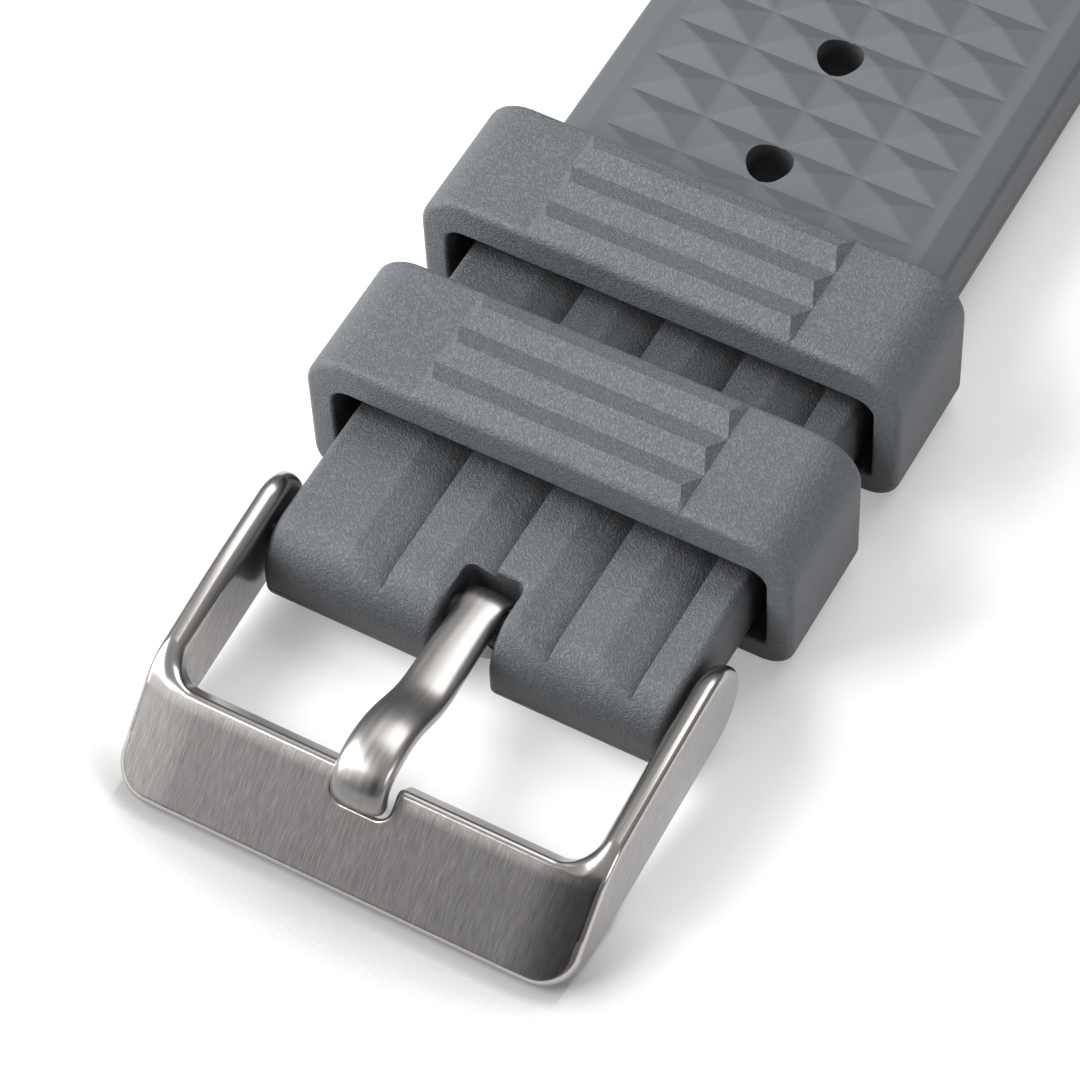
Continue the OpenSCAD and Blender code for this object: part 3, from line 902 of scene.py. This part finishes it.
def buckleForm(p):
    # Distance from the rounded frame, below zero inside it
    v = buckleValues
    x, y, z = np.abs(p[:, 0]), p[:, 1], p[:, 2]
    down, into = faceAxes(y, z)
    outward = np.maximum(x - v["pillowFrom"], 0) / (v["armOuter"] - v["pillowFrom"])
    pillow = v["pillow"] * outward * outward * smoothStep(down, *v["pillowBlend"])

    # Side view: two planes from the round end to the bend and to the bar's heel
    angle = math.radians(v["faceAngle"])
    bend = (v["bendY"], barZ + v["bendRise"])
    barBack = (bend[0] - v["barDrop"] * math.cos(angle) + v["barThick"] * math.sin(angle),
               bend[1] - v["barDrop"] * math.sin(angle) - v["barThick"] * math.cos(angle))
    heel = (barBack[0] - barBack[1] / math.tan(angle), 0.0)
    middle = (-5.0, 3.0)  # a place inside the arm
    top = planeThrough(y, z, (v["armEnd"], barZ + v["armRadius"]), bend, middle)
    low = planeThrough(y, z, heel, (v["armEnd"], barZ - v["armRadius"]), middle)
    upper = roundMax(top, -into, v["bendRadius"]) + pillow
    side = roundMax(upper, roundMax(low, -z, v["underEdge"]), v["sideEdge"])
    end = np.hypot(y - v["armEnd"], z - barZ) - v["armRadius"]
    side = np.where(y > v["armEnd"], end, side)
    outline = roundMax(x - v["armOuter"], down - v["faceLength"], v["cornerRadius"])
    whole = roundMax(side, outline, np.where(down > v["lowFrom"], v["lowEdge"], v["armEdge"]))

    bar = roundMax(v["barDrop"] - down, into - v["barThick"], v["backRadius"])
    opening = roundMax(x - v["armInner"], -bar, v["openingRadius"])
    edge = v["barEdge"] + (v["armInnerEdge"] - v["barEdge"]) * smoothStep(x, *v["armBlend"])
    form = roundMax(whole, -opening, edge)
    notch = roundedCorner(x - v["notchWidth"] / 2 + v["notchRadius"],
                          down - v["barDrop"] - v["notchLength"] + v["notchRadius"], v["notchRadius"])
    form = roundMax(form, -notch, v["notchEdge"])
    hole = np.maximum(np.hypot(y, z - barZ) - v["pinHole"], x - v["pinDepth"])
    return np.maximum(form, -hole)


def formSlope(p, step=0.004):
    slope = np.empty_like(p)
    for axis in range(3):
        shift = np.zeros(3)
        shift[axis] = step
        slope[:, axis] = (buckleForm(p + shift) - buckleForm(p - shift)) / (2 * step)
    return slope


def settleOnForm(p, rounds):
    # Points step down the slope to the form, held short so that none jumps across it
    for _ in range(rounds):
        slope = formSlope(p)
        size = np.maximum((slope * slope).sum(1), 0.2)
        p = p - slope * np.clip(buckleForm(p) / size, -0.3, 0.3)[:, None]
    return p


def drawTight(p, ends):
    # Points are drawn towards the middle of their neighbours and settled on the form again
    count, here, there = len(p), ends.ravel(), ends[:, ::-1].ravel()
    near = np.maximum(np.bincount(here, minlength=count), 1)[:, None]
    p = settleOnForm(p, 6)
    for _ in range(buckleValues["drawRounds"]):
        total = np.stack([np.bincount(here, p[there, axis], count) for axis in range(3)], axis=1)
        p = settleOnForm(p + buckleValues["drawShare"] * (total / near - p), 2)
    return settleOnForm(p, 3)


def polishedShare(p, normal):
    # Brushed are the face, up to its edges, and the arms' sides
    v = buckleValues
    angle = math.radians(v["faceAngle"])
    down = faceAxes(p[:, 1], p[:, 2])[0]
    fromEdge = np.minimum(np.minimum(down - v["barDrop"], v["faceLength"] - down),
                          v["armOuter"] - np.abs(p[:, 0]))
    isFace = smoothStep(normal @ np.array((0, -math.sin(angle), math.cos(angle))), *v["satinFace"])
    isSide = smoothStep(np.abs(normal[:, 0]), *v["satinSide"])
    return 1 - np.maximum(isFace * smoothStep(fromEdge, *v["satinRim"]), isSide)


def makeBuckle():
    piece = addObject("brushedBuckle", bpy.data.objects["buckle_frame"].data.copy())
    mergePoints(piece.data, 1e-7, False)
    skin = piece.modifiers.new("even skin", "REMESH")
    skin.mode = "VOXEL"
    skin.voxel_size = buckleValues["skin"] * mm
    keepMesh(piece)
    mesh = piece.data
    p = np.empty(len(mesh.vertices) * 3)
    mesh.vertices.foreach_get("co", p)
    ends = np.empty(len(mesh.edges) * 2, int)
    mesh.edges.foreach_get("vertices", ends)
    p = drawTight(p.reshape(-1, 3) / mm - (0, barY, 0), ends.reshape(-1, 2))
    normal = formSlope(p)
    normal /= np.maximum(np.linalg.norm(normal, axis=1), 1e-6)[:, None]
    mesh.vertices.foreach_set("co", ((p + (0, barY, 0)) * mm).ravel())
    storeValue(mesh, "polish", polishedShare(p, normal))
    mesh.materials.clear()
    mesh.materials.append(brushedSteel)
    mesh.update()
    mesh.shade_smooth()
    mesh.normals_split_custom_set_from_vertices(normal.tolist())
    piece["rideOn"] = "buckle_body"
    return piece


buckle = makeBuckle()
print("buckle:", len(buckle.data.polygons), "faces")


# Tongue: a bar curled round the spring bar, running down into the notch

tongueValues = {
    "width": 2.12, "tipWidth": 2.64, "widenedAt": 9.0, "half": 0.62, "squareness": 2.7, "sides": 40,
    "loopRadius": 1.45, "boreRadius": 0.8, "curl": (212.0, 450.0), "curlSteps": 40, "curveSteps": 16,
    "run": [(0, 0.83), (-1.5, 0.98), (-2.8, 0.97), (-4.3, 0.95)],
    "rise": [(-4.3, 0.95), (-6.1, 0.92), (-6.7, 2.12), (-8.5, 2.08)],
    "tip": [(-8.5, 2.08), (-9.6, 2.05), (-10.45, 1.6), (-10.5, 0.65)],
    "tipTaper": 1.1,  # how much narrower the tip's end gets
    "sharpFrom": 60,
}


def bezier(p, t):
    weights = ((1 - t) ** 3, 3 * (1 - t) ** 2 * t, 3 * (1 - t) * t * t, t ** 3)
    slopes = (-3 * (1 - t) ** 2, 3 * (1 - t) * (1 - 3 * t), 3 * t * (2 - 3 * t), 3 * t * t)
    place = np.array([sum(w * q[n] for w, q in zip(weights, p)) for n in range(2)])
    slope = np.array([sum(w * q[n] for w, q in zip(slopes, p)) for n in range(2)])
    return place, slope / np.linalg.norm(slope)


def roundSection(width, thick, power, count):
    # Points of a squarish oval, as place across and height
    rows = []
    for k in range(count):
        a = 2 * math.pi * (k + 0.5) / count
        c, s = math.cos(a), math.sin(a)
        rows.append((width / 2 * math.copysign(abs(c) ** (2 / power), c),
                     thick / 2 * math.copysign(abs(s) ** (2 / power), s)))
    return rows


def tongueStations():
    # Side view from the curl to the tip: top and low point of each station, and its width
    v = tongueValues
    pairs = []
    curlFrom, curlTo = v["curl"]
    for k in range(v["curlSteps"] + 1):
        a = math.radians(curlFrom + (curlTo - curlFrom) * k / v["curlSteps"])
        out = np.array([math.cos(a), math.sin(a)])
        pairs.append((out * v["loopRadius"], out * v["boreRadius"]))
    for part in ("run", "rise", "tip"):
        for k in range(1, v["curveSteps"] + 1):
            place, way = bezier(v[part], k / v["curveSteps"])
            side = np.array([way[1], -way[0]]) * v["half"]
            top, low = place + side, place - side
            fromBar = np.linalg.norm(low)
            if part == "run" and fromBar < v["boreRadius"]:
                low = low / fromBar * v["boreRadius"]
            pairs.append((top, low))
    stations = []
    for top, low in pairs:
        share = min(max(-top[0] / v["widenedAt"], 0), 1)
        stations.append((top, low, v["width"] + (v["tipWidth"] - v["width"]) * share))
    for a in [math.radians(degrees) for degrees in (15, 30, 45, 60, 72, 82)]:
        ahead, thinner = place + way * v["half"] * math.sin(a), side * math.cos(a)
        stations.append((ahead + thinner, ahead - thinner, v["tipWidth"] - v["tipTaper"] * (1 - math.cos(a))))
    return stations


def makeTongue():
    v = tongueValues
    stations = tongueStations()
    points = []
    for top, low, width in stations:
        thick = np.linalg.norm(top - low)
        middle, up = (top + low) / 2, (top - low) / thick
        for across, rise in roundSection(width, thick, v["squareness"], v["sides"]):
            y, z = middle + up * rise
            points.append((across, y, barZ + z))
    piece = newPiece("bentTongue", points, tubeFaces(len(stations), v["sides"]), tongueSteel, "tongue_body")
    tidyNormals(piece)
    softEdges(piece, v["sharpFrom"])
    return piece


tongue = makeTongue()
print("tongue:", len(tongue.data.polygons), "faces")


# Spring bars: turned tubes and tips, with a coil between the tips

barValues = {
    "tubeHalf": 9.6, "tubeRadius": 0.75, "bore": 0.57, "lip": 0.3, "lipRadius": 0.46,
    "headRadius": 0.54, "headEnd": 0.52, "headLength": 1.0, "headEdge": 0.06,
    "shoulderRadius": 0.43, "shoulderEnd": 10.0, "pinRadius": 0.38, "pinRound": 0.22,
    "frameEnd": 10.85, "lugEnd": 11.1, "chamfer": 0.02, "sharpFrom": 50,
}
coilValues = {"turns": 22, "radius": 0.42, "wire": 0.09, "half": 8.25, "points": 24, "sides": 10}


def turnedPiece(name, profile, y, z, body):
    points, faces = lathed(profile, y, z)
    piece = newPiece(name, points, faces, turnedSteel, body)
    tidyNormals(piece)
    softEdges(piece, barValues["sharpFrom"])
    return piece


def tubeProfile():
    # The tube's ends are rounded, and a lip that holds the tip is rolled in
    v = barValues
    end, r, lip, lipStart = v["tubeHalf"], v["tubeRadius"], v["lipRadius"], v["tubeHalf"] - v["lip"]
    right = [(end - 0.12, r), (end - 0.05, r - 0.02), (end - 0.01, r - 0.07), (end, r - 0.14),
             (end, lip + 0.03), (end - 0.03, lip), (lipStart, lip), (lipStart, v["bore"])]
    return [(-x, radius) for x, radius in reversed(right)] + right


def tipProfile(end, side):
    v = barValues
    head = v["tubeHalf"] - v["lip"]
    back = head - v["headLength"]
    r, pinRound, chamfer, shoulder = v["pinRadius"], v["pinRound"], v["chamfer"], v["shoulderEnd"]
    rows = [(back, 0.0), (back, v["headRadius"] - v["headEdge"]), (back + v["headEdge"], v["headRadius"]),
            (head - chamfer, v["headEnd"]), (head, v["headEnd"] - chamfer), (head, v["shoulderRadius"]),
            (shoulder - chamfer, v["shoulderRadius"]), (shoulder, r + chamfer), (shoulder, r),
            (end - pinRound, r)]
    for a in [math.radians(degrees) for degrees in (20, 40, 60, 80, 90)]:
        rows.append((end - pinRound * (1 - math.sin(a)), r - pinRound * (1 - math.cos(a))))
    rows.append((end, 0.0))
    return [(side * x, radius) for x, radius in rows]


def coilTree():
    tree, given, out = newTree("barCoil", {
        "Turns": "Float", "Points": "Int", "Radius": "Float", "Length": "Float", "Wire": "Float",
        "Sides": "Int", "Side": "Float", "Along": "Float", "Height": "Float"})
    spiral = addNode(tree, "GeometryNodeCurveSpiral", {
        "Resolution": given["Points"], "Rotations": given["Turns"], "Start Radius": given["Radius"],
        "End Radius": given["Radius"], "Height": given["Length"]})
    ring = addNode(tree, "GeometryNodeCurvePrimitiveCircle", {
        "Resolution": given["Sides"], "Radius": given["Wire"]})
    wire = addNode(tree, "GeometryNodeCurveToMesh", {
        "Curve": spiral.outputs[0], "Profile Curve": ring.outputs[0], "Fill Caps": True})
    lying = addNode(tree, "GeometryNodeTransform", {
        "Geometry": wire.outputs[0], "Rotation": (0, math.pi / 2, 0)})
    placed = addNode(tree, "GeometryNodeTransform", {
        "Geometry": lying.outputs[0], "Rotation": vector(tree, {2: given["Side"]}),
        "Translation": vector(tree, {1: given["Along"], 2: given["Height"]})})
    endTree(tree, placed.outputs[0], wireSteel, out[0])
    return tree


def makeCoil(name, tree, side, y, z):
    v = coilValues
    coil = newPiece(name, np.zeros((0, 3)), [], wireSteel, "")
    runTree(coil, tree, {
        "Turns": v["turns"] / 2, "Points": v["points"], "Radius": v["radius"] * mm,
        "Length": (v["half"] - v["wire"]) * mm, "Wire": v["wire"] * mm, "Sides": v["sides"],
        "Side": math.pi if side < 0 else 0.0, "Along": (barY + y) * mm, "Height": z * mm})
    tidyNormals(coil)
    softEdges(coil, barValues["sharpFrom"])
    return coil


bars = {}
coils = coilTree()
for barName, y, z, end in (("buckle", 0.0, barZ, barValues["frameEnd"]),
                           ("lug", lugY, lugZ, barValues["lugEnd"])):
    tube = turnedPiece(barName + "BarTube", tubeProfile(), y, z, "strap_body")
    bars[tube] = barName + "_bar_tube"
    for sideName, side in (("left", -1), ("right", 1)):
        tipBody = barName + "_tip_" + sideName + "_body"
        tip = turnedPiece(barName + "Tip" + sideName.title(), tipProfile(end, side), y, z, tipBody)
        bars[tip] = barName + "_bar_tip_" + sideName
        # Each half of a coil runs from the bar's middle towards its own tip
        coil = makeCoil(barName + "Coil" + sideName.title(), coils, side, y, z)
        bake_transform(coil)
        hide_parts(barName + "_bar_spring")
        del coil["rideOn"]
print("spring bars:", len(bars), "turned pieces, coil faces:", len(coil.data.polygons))


# Who rides on what, and which plain solid each piece stands for

stands = {strap: ("strap", "strap_rubber"), frontKeeper: ("front_keeper", "keeper_rubber"),
          rearKeeper: ("rear_keeper", "keeper_rubber"), buckle: ("buckle_frame", "brushed_buckle"),
          tongue: ("tongue", "polished_tongue")}
stands.update({piece: (nodeName, "bar_steel") for piece, nodeName in bars.items()})
for piece, (nodeName, slotName) in stands.items():
    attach(piece, piece["rideOn"])
    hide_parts(nodeName)
    del piece["rideOn"]
print("pieces ride on their bodies:", len(stands))


# Stage: pale floor, soft boxes and the camera, here in metres unless a note says mm

floorValues = {
    "size": 4.0, "below": 2e-5, "paper": ((0.60, 0.60, 0.60), (0.63, 0.63, 0.625)), "specks": 900,
    "rough": 0.6, "specular": 0.2, "glow": 0.27,
    # the paper gets a painted contact shadow where the frame stands close over it, before the buckle and
    # under its bar
    "footReach": 9.0, "footCover": (0.85, 1.0), "footShade": 0.42,  # reach in mm
    "before": (-46.0, -40.0), "underBar": (-41.2, -39.8), "withinArms": (11.0, 11.6),  # mm
}
lightValues = {
    "horizon": 0.085, "zenith": 0.46, "zenithFrom": 0.8, "sky": (1.0, 0.995, 0.99, 1),
    # each soft box: azimuth from -Y towards +X, elevation, distance, size and power
    "boxesFace": (0, -0.020, 0.003),
    "boxes": {
        "keySoftBox": (-62.0, 37.0, 0.55, (0.40, 0.40), 6.2),
        "topSoftBox": (172.0, 60.0, 0.55, (0.42, 0.34), 1.3),
        "rightFill": (80.0, 24.0, 0.60, (0.24, 0.16), 0.6),
    },
    # cards that show only in reflections: middle, way it faces, size and its glow from one x to another
    "cards": {
        "slopeCard": ((-0.06, -0.267, 0.146), (0.06, 0.225, -0.143), (0.42, 0.22),
                      (-0.12, 0.02), (0.35, 0.0)),
        "lowCard": ((0.0, -0.130, 0.0008), (0, 0, 1), (0.36, 0.166), (-0.15, 0.15), (0.72, 0.5)),
    },
}
cameraValues = {
    "azimuth": 31.86, "elevation": 55.26, "roll": -3.38, "lens": 150.0, "sensor": 36.0,
    "target": (0.84, -28.07, 5.3), "distance": 196.19,  # mm
    "sees": (0.005, 20.0),
}


def towards(azimuth, elevation):
    a, e = math.radians(azimuth), math.radians(elevation)
    return Vector((math.sin(a) * math.cos(e), -math.cos(a) * math.cos(e), math.sin(e)))


def flatSheet(name, corners):
    mesh = bpy.data.meshes.new(name)
    mesh.from_pydata(corners, [], [(0, 1, 2, 3)])
    return addObject(name, mesh)


def makeFloor():
    v = floorValues
    half, z = v["size"] / 2, -v["below"]
    floor = flatSheet("paleFloor", [(-half, -half, z), (half, -half, z), (half, half, z), (-half, half, z)])
    material, tree, shader, place = newMaterial("floorPaper")
    paper = tint(tree, noise(tree, place, v["specks"], 3.0), *v["paper"])
    # Painted contact shadow: the paper's colour and glow are dimmed where the frame stands close over it
    footShadow = remap(tree, openness(tree, v["footReach"]), *v["footCover"], v["footShade"], 1.0)
    across, along, up = split(tree, place)
    inMetres = {key: [edge * mm for edge in v[key]] for key in ("before", "underBar", "withinArms")}
    before = remap(tree, along, *inMetres["before"], 1.0, 0.0)
    underBar = remap(tree, along, *inMetres["underBar"], 1.0, 0.0)
    withinArms = remap(tree, calc(tree, "ABSOLUTE", across), *inMetres["withinArms"], 1.0, 0.0)
    shaded = calc(tree, "MAXIMUM", before, calc(tree, "MULTIPLY", underBar, withinArms))
    footShadow = mixed(tree, shaded, 1.0, footShadow)
    tree.links.new(dimmed(tree, paper, footShadow), shader.inputs["Base Color"])
    tree.links.new(calc(tree, "MULTIPLY", footShadow, v["glow"]), shader.inputs["Emission Strength"])
    shader.inputs["Emission Color"].default_value = (1, 1, 1, 1)
    shader.inputs["Roughness"].default_value = v["rough"]
    shader.inputs["Specular IOR Level"].default_value = v["specular"]
    floor.data.materials.append(material)


def makeSky():
    v = lightValues
    world = bpy.data.worlds.new("studio")
    bpy.context.scene.world = world
    world.use_nodes = True
    sky = world.node_tree
    rise = split(sky, addNode(sky, "ShaderNodeTexCoord").outputs["Generated"])[2]
    glow = remap(sky, rise, 0.0, v["zenithFrom"], v["horizon"], v["zenith"])
    sky.nodes["Background"].inputs[0].default_value = v["sky"]
    sky.links.new(glow, sky.nodes["Background"].inputs[1])


def makeSoftBox(name, azimuth, elevation, away, size, power):
    lamp = bpy.data.lights.new(name, "AREA")
    lamp.shape = "RECTANGLE"
    lamp.size, lamp.size_y = size
    lamp.energy = power
    box = addObject(name, lamp)
    aim = Vector(lightValues["boxesFace"])
    box.location = aim + towards(azimuth, elevation) * away
    box.rotation_euler = (aim - box.location).to_track_quat("-Z", "Y").to_euler()


def makeCard(name, place, facing, size, reach, glow):
    place, facing = Vector(place), Vector(facing).normalized()
    across = Vector((1, 0, 0)) - facing * facing.x
    across.normalize()
    up = facing.cross(across)
    w, h = size[0] / 2, size[1] / 2
    corners = [(-w, -h), (w, -h), (w, h), (-w, h)]
    card = flatSheet(name, [tuple(place + across * x + up * z) for x, z in corners])
    material, tree, shader, where = newMaterial(name + "Glow")
    tree.nodes.remove(shader)
    strength = remap(tree, split(tree, where)[0], *reach, *glow)
    lamp = addNode(tree, "ShaderNodeEmission", {"Strength": strength})
    tree.links.new(lamp.outputs[0], tree.nodes["Material Output"].inputs[0])
    card.data.materials.append(material)
    card.visible_camera = card.visible_diffuse = card.visible_shadow = False


def makeCamera():
    v = cameraValues
    ahead = -towards(v["azimuth"], v["elevation"])
    right = ahead.cross(Vector((0, 0, 1))).normalized()
    up = right.cross(ahead)
    roll = math.radians(v["roll"])
    turnedRight = math.cos(roll) * right + math.sin(roll) * up
    turnedUp = math.cos(roll) * up - math.sin(roll) * right
    data = bpy.data.cameras.new("photoCamera")
    data.lens, data.sensor_width = v["lens"], v["sensor"]
    data.clip_start, data.clip_end = v["sees"]
    camera = addObject("photoCamera", data)
    place = (Vector(v["target"]) - ahead * v["distance"]) * mm
    turn = Matrix((turnedRight, turnedUp, -ahead)).transposed().to_4x4()
    camera.matrix_world = Matrix.Translation(place) @ turn
    bpy.context.scene.camera = camera
    bpy.context.scene.view_settings.view_transform = "Standard"


makeFloor()
makeSky()
for name, values in lightValues["boxes"].items():
    makeSoftBox(name, *values)
for name, values in lightValues["cards"].items():
    makeCard(name, *values)
makeCamera()
print("stage is set")
